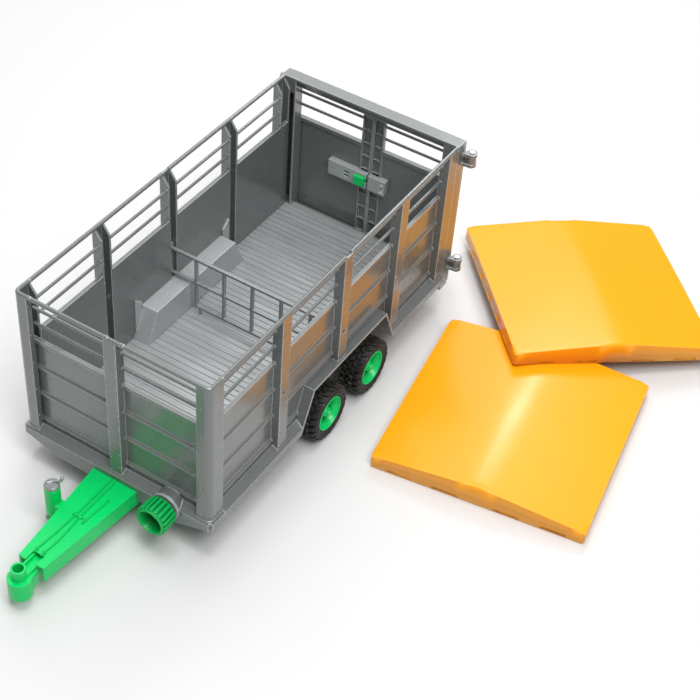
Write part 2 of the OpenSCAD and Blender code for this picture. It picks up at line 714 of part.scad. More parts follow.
module hose_end(x, y) translate([x, y, draw_z]) {
    cylinder(h = 2.2, r = 1.5);
    translate([2.8, 0, 0]) cylinder(h = 1.6, r = 1.1);
    translate([0, -0.6, 0]) cube([2.8, 1.2, 1.4]);
}

module drawbar_hoses() color([0.0, 0.62, 0.28]) {
    hose_run([[4, -1.5], [45, -1.5], [86, -4]]);
    hose_run([[4, 2.2], [45, 2.2], [68, 3.4], [86, 2.6]]);
    hose_run([[22, 9.5], [46, 7.4]]);
    translate([44, -4, draw_z]) cube([3, 8.4, 1.8]);
    hose_end(86, -4);
    hose_end(86, 2.6);
    hose_end(46, 7.4);
    translate([22, 9.5, draw_z]) cylinder(h = 1.6, r = 1.3);
}

module hitch_tongue() color(green) {
    base_top = eye_low_z + 17;
    tongue_low = draw_z - draw_h + 1;
    tongue_y = 4.8;
    root_x = draw_len - 12;
    difference() {
        union() {
            translate([hitch_reach, 0, eye_low_z]) cylinder(h = base_top - eye_low_z, r = eye_base_r);
            translate([hitch_reach, 0, base_top]) cylinder(h = eye_top_z - base_top, r = eye_neck_r);
            translate([0, 0, eye_low_z + 3]) linear_extrude(base_top - eye_low_z - 4) polygon([
                [hitch_reach, eye_base_r - 1], [draw_len + 0.4, tongue_y + 1],
                [draw_len + 0.4, -tongue_y - 1], [hitch_reach, 1 - eye_base_r]]);
            span([root_x, -tongue_y, tongue_low], [hitch_reach, tongue_y, base_top - 1]);
            for (side = [-1, 1])
                span([draw_len - 8.5, side * (tongue_y - 1.6), tongue_low],
                     [hitch_reach, side * tongue_y, base_top + 2.5]);
            span([root_x - 1.6, 3 - draw_tip_w / 2, tongue_low], [root_x + 1, draw_tip_w / 2 - 3, draw_z - 2]);
        }
        translate([hitch_reach, 0, 0]) cylinder(h = eye_top_z + 1, r = eye_bore_r);
    }
}

// ---- Jockey leg ----

sleeve_low = draw_z - draw_h + 1;
sleeve_top = draw_z + 14;
foot_low = leg_travel;

module jockey_sleeve() color(green) difference() {
    union() {
        translate([leg_x, -leg_y, sleeve_low]) cylinder(h = sleeve_top - sleeve_low, r = sleeve_r);
        translate([0, 0, draw_z - 12]) linear_extrude(11) polygon([
            [leg_x - 4, -leg_y], [leg_x + 4, -leg_y],
            [leg_x + 4, -draw_half(leg_x + 4)], [leg_x - 4, -draw_half(leg_x - 4)]]);
    }
    translate([leg_x, -leg_y, 0]) cylinder(h = sleeve_top + 1, r = leg_r + fit_gap);
}

module jockey_leg() color(steel) translate([leg_x, -leg_y, 0]) {
    translate([0, 0, foot_low]) cylinder(h = 1.8, r = leg_r + 3.2);
    translate([0, 0, foot_low + 1.8]) cylinder(h = sleeve_top - leg_travel - foot_low - 1.8, r = leg_r);
}

module jockey_crank() color([0.62, 0.64, 0.64]) translate([leg_x, -leg_y, sleeve_top + 0.3]) {
    cylinder(h = 3, r = sleeve_r - 0.3);
    rotate([0, 0, 125]) {
        translate([0, -1.2, 2.4]) cube([crank_r, 2.4, 2]);
        translate([crank_r, 0, 2.4]) cylinder(h = 6, r = 1.3);
        translate([crank_r, 0, 8.4]) sphere(r = 2.1);
    }
}

// ---- Rear frame and doors ----

// Two lugs of one hinge, above and below the door's knuckle
module hinge_lugs(z) {
    for (lift = [-knuckle_h / 2 - lug_gap - lug_t, knuckle_h / 2 + lug_gap])
        translate([0, 0, z + lift]) difference() {
            union() {
                translate([pin_x, pin_y, 0]) cylinder(h = lug_t, r = lug_r);
                linear_extrude(lug_t) polygon([
                    [rear_x + 3, post_y - 0.5], [rear_x, post_y - 0.5], [pin_x - lug_r + 0.3, pin_y],
                    [pin_x + lug_r - 0.3, pin_y]]);
            }
            translate([pin_x, pin_y, -1]) cylinder(h = lug_t + 2, r = pin_r);
        }
}

module rear_frame() color(silver) {
    header_low = rim_top - 11;
    for (side = [0, 1]) mirror([0, side, 0]) {
        difference() {
            span([rear_x, post_y - column_w, sill_z - rear_foot_drop], [side_rear_x, post_y, rim_top]);
            span([rear_x + wall_t, post_y - column_w + wall_t, floor_z],
                 [side_rear_x + 1, post_y - wall_t, header_low - 4]);
        }
        for (z = hinge_zs) hinge_lugs(z);
    }
    span([rear_x, -post_y + column_w - 1, rim_top - 2], [side_rear_x, post_y - column_w + 1, rim_top]);
    span([rear_x, -post_y + column_w - 1, header_low], [rear_x + 5, post_y - column_w + 1, rim_top - 1]);
    span([rear_x, -post_y + column_w - 1, sill_z], [rear_x + 5, post_y - column_w + 1, sill_top]);
    span([rear_x, -5, header_low - 3], [rear_x + 4, 5, header_low + 1]);
}

module hinge_pins() color(steel)
    for (z = hinge_zs) let (half = knuckle_h / 2 + lug_gap + lug_t)
        translate([pin_x, pin_y, z - half - 2.5]) {
            cylinder(h = 2 * half + 3, r = pin_r);
            translate([0, 0, 2 * half + 2.5]) cylinder(h = 1, r = pin_r + 0.8);
        }

// One leaf: hollow ribbed stiles, two round bars, and a panel with a ledge. The left
// one has the keeper's window.
module door_leaf(windowed) color([0.58, 0.6, 0.6]) difference() {
    leaf_solid();
    if (windowed)
        span([leaf_x - leaf_t + 1, leaf_window[0], bolt_z - 5], [leaf_x + 1, leaf_window[1], bolt_z + 5]);
}

module leaf_solid() {
    skin = 1.3;
    x_out = leaf_x - leaf_t;
    top_rail = 5;
    window_top = leaf_top_z - top_rail;
    stiles = [[leaf_y0, leaf_y0 + stile_w], [leaf_y1 - stile_w, leaf_y1]];
    for (s = stiles) {
        difference() {
            span([leaf_x, s[0], leaf_low_z], [x_out, s[1], leaf_top_z]);
            span([leaf_x + 1, s[0] + skin, leaf_low_z + skin], [x_out + skin, s[1] - skin, leaf_top_z - skin]);
        }
        for (k = [1:10]) let (z = leaf_low_z + k * (leaf_top_z - leaf_low_z) / 11)
            span([leaf_x - 1, s[0] + 0.5, z - 0.5], [x_out + 0.5, s[1] - 0.5, z + 0.5]);
    }
    span([leaf_x, leaf_y0 + 1, window_top], [x_out, leaf_y1 - 1, leaf_top_z]);
    span([leaf_x, leaf_y0 + stile_w - 1, panel_top - ledge_h], [x_out, leaf_y1 - stile_w + 1, panel_top]);
    span([leaf_x, leaf_y0 + stile_w - 1, leaf_low_z], [x_out, leaf_y1 - stile_w + 1, leaf_low_z + 5]);
    span([x_out + 1.2, leaf_y0 + stile_w - 1, leaf_low_z + 1],
         [x_out + 1.2 + skin, leaf_y1 - stile_w + 1, panel_top - 1]);
    for (i = [1:rib_count]) let (z = panel_top - i * rib_pitch)
        along_y(leaf_y0 + stile_w - 1, leaf_y1 - stile_w + 1)
            polygon([[x_out + 1.4, z - 2.2], [x_out, z - 2.2], [x_out, z - 0.4], [x_out + 1.4, z + 1.6]]);
    for (k = [1:bar_count])
        bar_y(leaf_y0 + stile_w - 1, leaf_y1 - stile_w + 1, leaf_x - leaf_t / 2,
              panel_top + k * (window_top - panel_top) / (bar_count + 1), bar_d);
    for (z = hinge_zs) translate([0, 0, z - knuckle_h / 2]) difference() {
        union() {
            translate([pin_x, pin_y, 0]) cylinder(h = knuckle_h, r = lug_r - 0.5);
            span([leaf_x, leaf_y1 - 1, 0], [x_out, pin_y, knuckle_h]);
        }
        translate([pin_x, pin_y, -1]) cylinder(h = knuckle_h + 2, r = pin_r + fit_gap);
    }
}

// The latch plates lie on the leaves' inner faces. Both are drawn on the left leaf,
// and the bolt's own plate is mirrored to the right one.
bolt_face = leaf_x + 0.2;
latch_out = leaf_x + bolt_t + 1.8;
module latch_plate(l) {
    span([leaf_x, leaf_y0 + 0.4, bolt_z - latch_h / 2], [latch_out, l, bolt_z + latch_h / 2]);
    span([leaf_x - 1.4, leaf_y0 + stile_w + 0.2, bolt_z - latch_h / 2], [leaf_x + 0.5, l, bolt_z + latch_h / 2]);
}

module bolt_guide() color([0.5, 0.52, 0.52]) difference() {
    latch_plate(guide_l);
    span([bolt_face, leaf_y0 - 1, bolt_z - bolt_w / 2 - bolt_run],
         [leaf_x + bolt_t + 0.4, bolt_y + bolt_l + 1, bolt_z + bolt_w / 2 + bolt_run]);
    span([leaf_x + 1, leaf_y0 - 1, bolt_z - 1.6], [latch_out + 1, bolt_y + 8.3, bolt_z + 1.6]);
    for (lift = [-1.8, 1.8])
        span([leaf_x + 1, 18, bolt_z + lift - 1.1], [latch_out + 1, 23, bolt_z + lift + 1.1]);
}

module door_bolt() color(green) {
    span([bolt_face, bolt_y, bolt_z - bolt_w / 2], [bolt_face + bolt_t - 0.2, bolt_y + bolt_l, bolt_z + bolt_w / 2]);
    span([bolt_face + bolt_t - 0.4, bolt_y + 4.2, bolt_z - 1.4], [latch_out + 0.5, bolt_y + 8, bolt_z + 1.4]);
    span([latch_out + 0.3, bolt_y + 0.2, bolt_z - 4.5], [latch_out + 3.2, bolt_y + 10.2, bolt_z + 4.5]);
}

// The keeper's plate has a pocket for the bolt's end and a window through the leaf
keeper_pocket = 11.5;
module keeper_housing() color([0.5, 0.52, 0.52]) difference() {
    latch_plate(keeper_l);
    span([leaf_x - 0.01, leaf_y0, bolt_z - bolt_w / 2 - 2 * bolt_run],
         [leaf_x + bolt_t + 0.6, keeper_pocket, bolt_z + bolt_w / 2 + 2 * bolt_run]);
    span([leaf_x - 3, leaf_window[0], bolt_z - 5], [latch_out + 1, leaf_window[1], bolt_z + 5]);
}

module bolt_keeper() color(steel)
    span([bolt_face, keeper_pocket - 0.1, bolt_z - bolt_w / 2], [leaf_x + bolt_t + 0.4, keeper_pocket - 4.5, bolt_z + bolt_w / 2]);

// ---- Dividing gate ----

module divider_gate() color([0.6, 0.62, 0.62]) {
    low = floor_z + gate_low;
    top = floor_z + gate_h;
    mid = (low + top) / 2;
    half = gate_bar / 2;
    for (z = [mid, top])
        span([mid_x - half, -gate_tip_y, z - half], [mid_x + half, gate_tip_y, z + half]);
    span([mid_x - half, -gate_half, low - half], [mid_x + half, gate_half, low + half]);
    for (i = [0:gate_uprights - 1]) let (y = -gate_half + i * 2 * gate_half / (gate_uprights - 1))
        span([mid_x - half, y - half, low - half], [mid_x + half, y + half, top + half]);
    for (side = [-1, 1]) {
        span([mid_x - channel_w / 2 + 0.4, side * (gate_tip_y - 3.5), gate_seat_z],
             [mid_x + channel_w / 2 - 0.4, side * gate_tip_y, top + 3]);
        translate([mid_x, side * (gate_half - 4), floor_z + 0.3]) cylinder(h = gate_low, d = gate_bar);
    }
}

// ---- Roof halves, drawn with the ridge along -X from the gable end ----

module roof_solid(l, w, skirt, rise, inset) {
    h = w / 2;
    hull() {
        for (x = [-inset, inset - l], y = [-h, h]) translate([x, y, 0]) cube([0.01, 0.01, skirt]);
        for (x = [-inset, inset - l]) translate([x, 0, 0]) cube([0.01, 0.01, skirt + rise]);
        translate([-l / 2, 0, 0]) cube([0.01, 0.01, skirt + rise + roof_crease]);
        for (y = [-h, h]) translate([-l / 2, y, 0]) cube([0.01, 0.01, skirt + roof_crease / 2]);
    }
}

module roof_half() color(orange) difference() {
    roof_solid(roof_l, roof_w, roof_skirt, roof_rise, 0);
    translate([0, 0, -0.01]) roof_solid(roof_l, 2 * roof_inner, roof_skirt - roof_t, roof_rise, roof_t);
    for (end = [0, -roof_l], y = [-64, -32, 32, 64])
        span([end - roof_t - 1, y - 12, -1], [end + roof_t + 1, y + 12, 1.2]);
    for (side = [-1, 1], i = [1:5]) let (x = -i * roof_l / 6)
        span([x - 5, side * roof_w / 2 - 3, -1], [x + 5, side * roof_w / 2 + 3, 1.2]);
}

module roof_near() translate(near_at) rotate([0, 0, near_turn]) translate([0, roof_w / 2, 0]) roof_half();

// The far half stands on one corner and leans on the near half: it tilts up
// towards far_lean, an angle off its ridge
module roof_far() translate(far_at) rotate([0, 0, far_turn - far_lean]) rotate([0, -far_tilt, 0])
    rotate([0, 0, far_lean]) translate([roof_l, -roof_w / 2, 0]) roof_half();

// ---- Nodes ----

from_hitch() floor_pan();
from_hitch() chassis();
from_hitch() front_wall();
from_hitch() side_wall();  // side_wall_left
from_hitch() left_to_right() side_wall();  // side_wall_right
from_hitch() rear_frame();
from_hitch() wheel_box();  // wheel_box_left
from_hitch() left_to_right() wheel_box();  // wheel_box_right
from_hitch() gear_cover();
from_hitch() knob_bearing();
from_hitch() drawbar();
from_hitch() drawbar_hoses();
from_hitch() hitch_tongue();
from_hitch() jockey_sleeve();
from_hitch() jockey_leg();
from_hitch() jockey_crank();
from_hitch() lowering_knob();
from_hitch() lowering_shaft();
from_hitch() axle_carriage();
from_hitch() lowering_rack();
from_hitch() guide_pins();
from_hitch() axle_rod(axles[0]);  // axle_rod_front
from_hitch() axle_rod(axles[1]);  // axle_rod_rear
from_hitch() on_axle(axles[0], 1) tyre();  // tyre_front_left
from_hitch() on_axle(axles[0], -1) tyre();  // tyre_front_right
from_hitch() on_axle(axles[1], 1) tyre();  // tyre_rear_left
from_hitch() on_axle(axles[1], -1) tyre();  // tyre_rear_right
from_hitch() on_axle(axles[0], 1) rim();  // rim_front_left
from_hitch() on_axle(axles[0], -1) rim();  // rim_front_right
from_hitch() on_axle(axles[1], 1) rim();  // rim_rear_left
from_hitch() on_axle(axles[1], -1) rim();  // rim_rear_right
from_hitch() on_axle(axles[0], 1) hub_cap();  // hub_cap_front_left
from_hitch() on_axle(axles[0], -1) hub_cap();  // hub_cap_front_right
from_hitch() on_axle(axles[1], 1) hub_cap();  // hub_cap_rear_left
from_hitch() on_axle(axles[1], -1) hub_cap();  // hub_cap_rear_right
from_hitch() divider_gate();
from_hitch() door_leaf(true);  // door_left
from_hitch() left_to_right() door_leaf(false);  // door_right
from_hitch() hinge_pins();  // hinge_pins_left
from_hitch() left_to_right() hinge_pins();  // hinge_pins_right
from_hitch() left_to_right() bolt_guide();
from_hitch() left_to_right() door_bolt();
from_hitch() keeper_housing();
from_hitch() bolt_keeper();
from_hitch() roof_near();
from_hitch() roof_far();
from_hitch() chassis_screws();
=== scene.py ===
import math

import bmesh
import bpy
from mathutils import Matrix, Vector


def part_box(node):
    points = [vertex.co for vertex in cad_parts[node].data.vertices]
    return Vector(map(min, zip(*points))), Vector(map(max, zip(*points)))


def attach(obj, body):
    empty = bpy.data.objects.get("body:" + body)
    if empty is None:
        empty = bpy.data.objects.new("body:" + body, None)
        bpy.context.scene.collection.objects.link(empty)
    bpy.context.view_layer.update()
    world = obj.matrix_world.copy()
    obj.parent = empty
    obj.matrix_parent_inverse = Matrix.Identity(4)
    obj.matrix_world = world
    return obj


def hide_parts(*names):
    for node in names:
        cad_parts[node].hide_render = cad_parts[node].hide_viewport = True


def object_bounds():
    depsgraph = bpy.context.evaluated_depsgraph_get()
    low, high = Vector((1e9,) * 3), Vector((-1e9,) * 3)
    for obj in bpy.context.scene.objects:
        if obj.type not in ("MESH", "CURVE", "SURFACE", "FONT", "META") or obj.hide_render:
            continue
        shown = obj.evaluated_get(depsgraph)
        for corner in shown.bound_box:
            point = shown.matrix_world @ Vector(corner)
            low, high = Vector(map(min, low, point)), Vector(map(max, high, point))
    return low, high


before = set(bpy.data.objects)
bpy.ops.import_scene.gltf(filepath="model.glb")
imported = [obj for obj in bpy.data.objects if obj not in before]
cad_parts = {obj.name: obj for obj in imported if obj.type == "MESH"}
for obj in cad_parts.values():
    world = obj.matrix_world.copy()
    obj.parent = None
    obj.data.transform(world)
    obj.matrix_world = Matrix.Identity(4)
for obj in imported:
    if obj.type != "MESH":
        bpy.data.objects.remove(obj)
cad_low, cad_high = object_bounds()


# ---- Studio ----
# The camera looks down over the front left corner. A pale floor and soft boxes give
# an even white table.

camera_data = bpy.data.cameras.new("camera")
camera_data.sensor_width = 36
camera_data.lens = 79.88
camera_data.clip_start, camera_data.clip_end = 0.05, 20
camera = bpy.data.objects.new("camera", camera_data)
camera.location = (0.48194, 0.51303, 0.8918)
camera.rotation_euler = (0.806629, -0.064012, 2.132854)
bpy.context.scene.collection.objects.link(camera)
bpy.context.scene.camera = camera


def soft_box(name, place, target, size, power, colour=(1, 1, 1)):
    lamp = bpy.data.lights.new(name, "AREA")
    lamp.shape, lamp.size, lamp.size_y = "RECTANGLE", size[0], size[1]
    lamp.energy, lamp.color = power, colour
    box = bpy.data.objects.new(name, lamp)
    box.location = place
    box.rotation_euler = (Vector(target) - Vector(place)).to_track_quat("-Z", "Y").to_euler()
    bpy.context.scene.collection.objects.link(box)


soft_box("key_light", (-1.1, -0.7, 1.35), (-0.25, 0.05, 0), (2.2, 1.5), 15)
soft_box("window_light", (-1.2, -0.09, 0.9), (-0.36, 0.21, 0), (0.25, 0.25), 2.5)
soft_box("top_light", (-0.2, 0.1, 1.9), (-0.25, 0.1, 0), (0.8, 0.8), 19)
soft_box("side_light", (0.3, 1.0, 1.8), (-0.25, 0.1, 0), (0.9, 0.9), 24)

world = bpy.data.worlds.new("studio")
world.use_nodes = True
world.node_tree.nodes["Background"].inputs["Color"].default_value = (1.0, 1.0, 1.0, 1)
world.node_tree.nodes["Background"].inputs["Strength"].default_value = 0.3
bpy.context.scene.world = world
bpy.context.scene.view_settings.view_transform = "Standard"

floor_material = bpy.data.materials.new("white_table")
floor_material.use_nodes = True
paper = floor_material.node_tree.nodes["Principled BSDF"]
paper.inputs["Base Color"].default_value = (0.66, 0.66, 0.66, 1)
paper.inputs["Roughness"].default_value = 0.75
paper.inputs["Specular IOR Level"].default_value = 0.25

shell = bmesh.new()
bmesh.ops.create_grid(shell, x_segments=2, y_segments=2, size=4.0)
bmesh.ops.translate(shell, verts=shell.verts, vec=(-0.2, 0.1, cad_low.z - 0.0004))
table_mesh = bpy.data.meshes.new("table")
shell.to_mesh(table_mesh)
shell.free()
table_mesh.materials.append(floor_material)
table = bpy.data.objects.new("table", table_mesh)
bpy.context.scene.collection.objects.link(table)


# ---- Body panels: front wall, side walls, rear frame ----
# Injection-moulded plastic in a silver-grey lacquer shade with a fine metallic fleck.
# Edges and rib tops are painted paler, a painted highlight where the light catches them.

def place(x, y, z):
    """A place in the frame, from mm: x from the front posts' face, y off the middle, z above the ground."""
    return Vector(((x - 110) / 1000, y / 1000, (z - 23.5) / 1000))


def blank_material(name):
    made = bpy.data.materials.new(name)
    made.use_nodes = True
    nodes, links = made.node_tree.nodes, made.node_tree.links
    return made, nodes, links, nodes["Principled BSDF"]


def noise(nodes, links, scale, detail=3.0, stretch=(1, 1, 1), rough=0.55):
    coords = nodes.new("ShaderNodeTexCoord")
    turned = nodes.new("ShaderNodeMapping")
    turned.inputs["Scale"].default_value = stretch
    links.new(coords.outputs["Object"], turned.inputs["Vector"])
    made = nodes.new("ShaderNodeTexNoise")
    made.inputs["Scale"].default_value = scale
    made.inputs["Detail"].default_value = detail
    made.inputs["Roughness"].default_value = rough
    links.new(turned.outputs["Vector"], made.inputs["Vector"])
    return made.outputs["Fac"]


def ramp(nodes, links, value, low, high, out_low=0.0, out_high=1.0):
    made = nodes.new("ShaderNodeMapRange")
    for socket, number in (("From Min", low), ("From Max", high), ("To Min", out_low), ("To Max", out_high)):
        made.inputs[socket].default_value = number
    links.new(value, made.inputs["Value"])
    return made.outputs["Result"]


def mixed(nodes, links, factor, first, second):
    made = nodes.new("ShaderNodeMix")
    made.data_type = "RGBA"
    links.new(factor, made.inputs[0])
    for socket, colour in ((6, first), (7, second)):
        if isinstance(colour, tuple):
            made.inputs[socket].default_value = (*colour, 1)
        else:
            links.new(colour, made.inputs[socket])
    return made.outputs[2]


def rounded_normal(nodes, radius):
    made = nodes.new("ShaderNodeBevel")
    made.samples = 8
    made.inputs["Radius"].default_value = radius
    return made.outputs["Normal"]


def edge_share(nodes, links, radius, reach=0.12):
    """1 on an edge's rounding and 0 on flat faces."""
    turn = nodes.new("ShaderNodeVectorMath")
    turn.operation = "DOT_PRODUCT"
    links.new(rounded_normal(nodes, radius), turn.inputs[0])
    links.new(nodes.new("ShaderNodeNewGeometry").outputs["True Normal"], turn.inputs[1])
    return ramp(nodes, links, turn.outputs["Value"], 1.0, 1.0 - reach)


def surface(nodes, links, shader, radius, grain, depth, grain_scale):
    """Rounded edges with the fine orange peel of a moulded skin."""
    peel = nodes.new("ShaderNodeBump")
    peel.inputs["Strength"].default_value = grain
    peel.inputs["Distance"].default_value = depth
    links.new(noise(nodes, links, grain_scale, 4.0), peel.inputs["Height"])
    links.new(rounded_normal(nodes, radius), peel.inputs["Normal"])
    links.new(peel.outputs["Normal"], shader.inputs["Normal"])


# The edge colour serves both the metallic fleck and the painted edge highlight.
def silver_plastic(name, dark, light, edge, gloss=(0.24, 0.3), radius=0.0007, metallic=0.2):
    made, nodes, links, shader = blank_material(name)
    cloud = ramp(nodes, links, noise(nodes, links, 22.0, 4.0, (1, 1, 0.5)), 0.35, 0.65)
    fleck = ramp(nodes, links, noise(nodes, links, 2600.0, 1.0), 0.5, 0.8, 0.0, 0.05)
    body = mixed(nodes, links, cloud, dark, light)
    body = mixed(nodes, links, fleck, body, edge)
    # Painted highlight: edges and rib tops are mixed towards the pale edge colour.
    edge_highlight = ramp(nodes, links, edge_share(nodes, links, radius), 0.0, 1.0, 0.0, 0.7)
    body = mixed(nodes, links, edge_highlight, body, edge)
    links.new(body, shader.inputs["Base Color"])
    links.new(ramp(nodes, links, noise(nodes, links, 60.0, 3.0), 0.3, 0.7, *gloss), shader.inputs["Roughness"])
    shader.inputs["Metallic"].default_value = metallic
    shader.inputs["IOR"].default_value = 1.55
    shader.inputs["Coat Weight"].default_value = 0.5
    shader.inputs["Coat Roughness"].default_value = 0.12
    surface(nodes, links, shader, radius, 0.012, 0.0001, 900.0)
    return made


def crevice(nodes, links, distance):
    """1 on open faces and falling towards 0 down in narrow grooves."""
    made = nodes.new("ShaderNodeAmbientOcclusion")
    made.samples = 6
    made.only_local = True
    made.inputs["Distance"].default_value = distance
    return made.outputs["AO"]


def paint_hollow_shade(material, distance, colour, low=0.25, high=0.9):
    """Paints shade into a material's colour inside its piece's own hollows."""
    nodes, links = material.node_tree.nodes, material.node_tree.links
    socket = nodes["Principled BSDF"].inputs["Base Color"]
    body = socket.links[0].from_socket
    open_share = ramp(nodes, links, crevice(nodes, links, distance), low, high)
    links.new(mixed(nodes, links, open_share, colour, body), socket)
    return material


def paint(material, *names):
    for name in names:
        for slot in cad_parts[name].material_slots:
            slot.material = material


wall_silver = silver_plastic("wall_silver", (0.155, 0.168, 0.166), (0.168, 0.18, 0.178), (0.75, 0.77, 0.77),
                             radius=0.0011)
# Painted shade: the walls' grooves and the undersides of the ribs darken towards near black.
paint_hollow_shade(wall_silver, 0.003, (0.02, 0.023, 0.023), 0.15, 0.6)
paint(wall_silver, "front_wall", "side_wall_left", "side_wall_right", "rear_frame", "door_left", "door_right")


# ---- Floor pan and wheel boxes ----
# The same plastic in a paler shade. Its slats carry paler, glossier streaks lengthwise.

def floor_plastic():
    made, nodes, links, shader = blank_material("floor_silver")
    streak = ramp(nodes, links, noise(nodes, links, 30.0, 5.0, (9, 0.6, 1)), 0.35, 0.7)
    body = mixed(nodes, links, streak, (0.29, 0.305, 0.31), (0.41, 0.43, 0.435))
    # Painted highlight: the floor's edges are mixed towards a paler grey.
    edge_highlight = ramp(nodes, links, edge_share(nodes, links, 0.0004), 0.0, 1.0, 0.0, 0.7)
    body = mixed(nodes, links, edge_highlight, body, (0.62, 0.64, 0.65))
    links.new(body, shader.inputs["Base Color"])
    links.new(ramp(nodes, links, streak, 0.0, 1.0, 0.42, 0.28), shader.inputs["Roughness"])
    shader.inputs["Metallic"].default_value = 0.3
    shader.inputs["Coat Weight"].default_value = 0.3
    shader.inputs["Coat Roughness"].default_value = 0.2
    surface(nodes, links, shader, 0.0004, 0.05, 0.0001, 700.0)
    return made


paint(floor_plastic(), "floor_pan")
box_silver = silver_plastic("box_silver", (0.38, 0.40, 0.405), (0.44, 0.46, 0.465), (0.68, 0.70, 0.71),
                            gloss=(0.24, 0.36), radius=0.0012)
paint(box_silver, "wheel_box_left", "wheel_box_right", "gear_cover", "knob_bearing", "bolt_guide",
      "keeper_housing")


# ---- Rivets ----
# Small moulded rivet heads down each post, near its edges by turns. The post over the
# wheel arch has none in the arch. They are part of the same moulding as the walls.

def finish_piece(mesh_in_work, name, body, material, smooth=35, modifiers=()):
    """Turns a bmesh into a piece that rides on a body."""
    bmesh.ops.remove_doubles(mesh_in_work, verts=mesh_in_work.verts, dist=1e-7)
    bmesh.ops.recalc_face_normals(mesh_in_work, faces=mesh_in_work.faces)
    mesh = bpy.data.meshes.new(name)
    mesh_in_work.to_mesh(mesh)
    mesh_in_work.free()
    mesh.materials.append(material)
    mesh.shade_smooth()
    mesh.set_sharp_from_angle(angle=math.radians(smooth))
    piece = bpy.data.objects.new(name, mesh)
    bpy.context.scene.collection.objects.link(piece)
    for kind, settings in modifiers:
        added = piece.modifiers.new(kind.title(), kind)
        for key, value in settings.items():
            setattr(added, key, value)
    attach(piece, body)
    return piece


def rivet(work, spot, outward, radius=0.00062, height=0.00038):
    """A low dome whose flat side lies on the surface at spot."""
    made = bmesh.ops.create_cone(work, cap_ends=True, segments=10, radius1=radius, radius2=radius * 0.45,
                                 depth=height)
    turn = outward.to_track_quat("Z", "Y").to_matrix().to_4x4()
    bmesh.ops.transform(work, matrix=Matrix.Translation(spot + outward * height * 0.45) @ turn,
                        verts=made["verts"])


rivets = bmesh.new()
rivet_levels = [41.5 + 13.75 * step for step in range(10)]
SILL_TOP, ARCH_TOP, WALL_FACE = 40, 72, 86
side_posts = ((-93.5, 5.5, SILL_TOP), (-176, 5.5, ARCH_TOP), (-258.5, 5.5, SILL_TOP), (-334.5, 6.5, SILL_TOP),
              (-10, 5.2, SILL_TOP))
for side in (-1, 1):
    outward = Vector((0, side, 0))
    for centre, half, lowest in side_posts:
        for step, level in enumerate(rivet_levels):
            for edge in (-1, 1):
                if (step + (edge > 0)) % 2 and level > lowest:
                    rivet(rivets, place(centre + edge * (half - 1.5), side * WALL_FACE, level), outward)
    for step, level in enumerate(rivet_levels):
        rivet(rivets, place(0, side * (75 + 2.6 * (-1) ** step), level), Vector((1, 0, 0)))
        if side > 0:
            for edge in (-1, 1):
                rivet(rivets, place(0, edge * 4.0, level + 3 * edge), Vector((1, 0, 0)))
rivet_silver = silver_plastic("rivet_silver", (0.3, 0.32, 0.32), (0.36, 0.38, 0.38), (0.65, 0.67, 0.68),
                              radius=0.0002)
finish_piece(rivets, "post_rivets", "trailer", rivet_silver)


# ---- Drawbar, hitch tongue and jockey sleeve ----
# Through-coloured bright green plastic with a satin gloss. Thin edges carry a painted
# highlight, and the broad top shows faint flow marks of the moulding.

def green_plastic(name, radius=0.0006, deep=(0.0, 0.60, 0.13), bright=(0.0, 0.64, 0.14), gloss=(0.22, 0.34)):
    made, nodes, links, shader = blank_material(name)
    flow = ramp(nodes, links, noise(nodes, links, 26.0, 5.0, (0.5, 1.6, 1)), 0.32, 0.68)
    body = mixed(nodes, links, flow, deep, bright)
    # Painted highlight: thin edges are mixed towards a lighter green.
    edge_highlight = ramp(nodes, links, edge_share(nodes, links, radius), 0.0, 1.0, 0.0, 0.6)
    body = mixed(nodes, links, edge_highlight, body, (0.04, 0.82, 0.26))
    links.new(body, shader.inputs["Base Color"])
    links.new(ramp(nodes, links, noise(nodes, links, 75.0, 4.0), 0.3, 0.7, *gloss), shader.inputs["Roughness"])
    shader.inputs["Specular IOR Level"].default_value = 0.32
    surface(nodes, links, shader, radius, 0.012, 0.0001, 800.0)
    return made


drawbar_green = green_plastic("drawbar_green")
paint(drawbar_green, "drawbar", "hitch_tongue", "jockey_sleeve", "door_bolt")


# ---- Hoses on the drawbar ----
# Three air and oil hoses moulded onto the drawbar's top, with a clamp across two of them
# and round couplings at their front ends. Same green plastic as the drawbar.

def tube(name, points, radius, segments=10, smoothness=8):
    """A round tube along a smooth line through the points, as a bmesh."""
    line = bpy.data.curves.new(name, "CURVE")
    line.dimensions = "3D"
    line.resolution_u = smoothness
    line.bevel_depth = radius
    line.bevel_resolution = max(1, segments // 4)
    line.use_fill_caps = True
    spline = line.splines.new("BEZIER")
    spline.bezier_points.add(len(points) - 1)
    for knot, point in zip(spline.bezier_points, points):
        knot.co = point
        knot.handle_left_type = knot.handle_right_type = "AUTO"
    holder = bpy.data.objects.new(name, line)
    bpy.context.scene.collection.objects.link(holder)
    bpy.context.view_layer.update()
    as_mesh = bpy.data.meshes.new_from_object(holder)
    work = bmesh.new()
    work.from_mesh(as_mesh)
    bpy.data.objects.remove(holder)
    bpy.data.curves.remove(line)
    bpy.data.meshes.remove(as_mesh)
    return work


def merged(target, source):
    """Adds source's faces to target and frees source."""
    passing = bpy.data.meshes.new("passing")
    source.to_mesh(passing)
    source.free()
    target.from_mesh(passing)
    bpy.data.meshes.remove(passing)


def disc(work, low, high, radius_low, radius_high, segments=24):
    """A capped cone or cylinder between two places."""
    along = high - low
    made = bmesh.ops.create_cone(work, cap_ends=True, segments=segments, radius1=radius_low,
                                 radius2=radius_high, depth=along.length)
    turn = along.to_track_quat("Z", "Y").to_matrix().to_4x4()
    bmesh.ops.transform(work, matrix=Matrix.Translation((low + high) / 2) @ turn, verts=made["verts"])


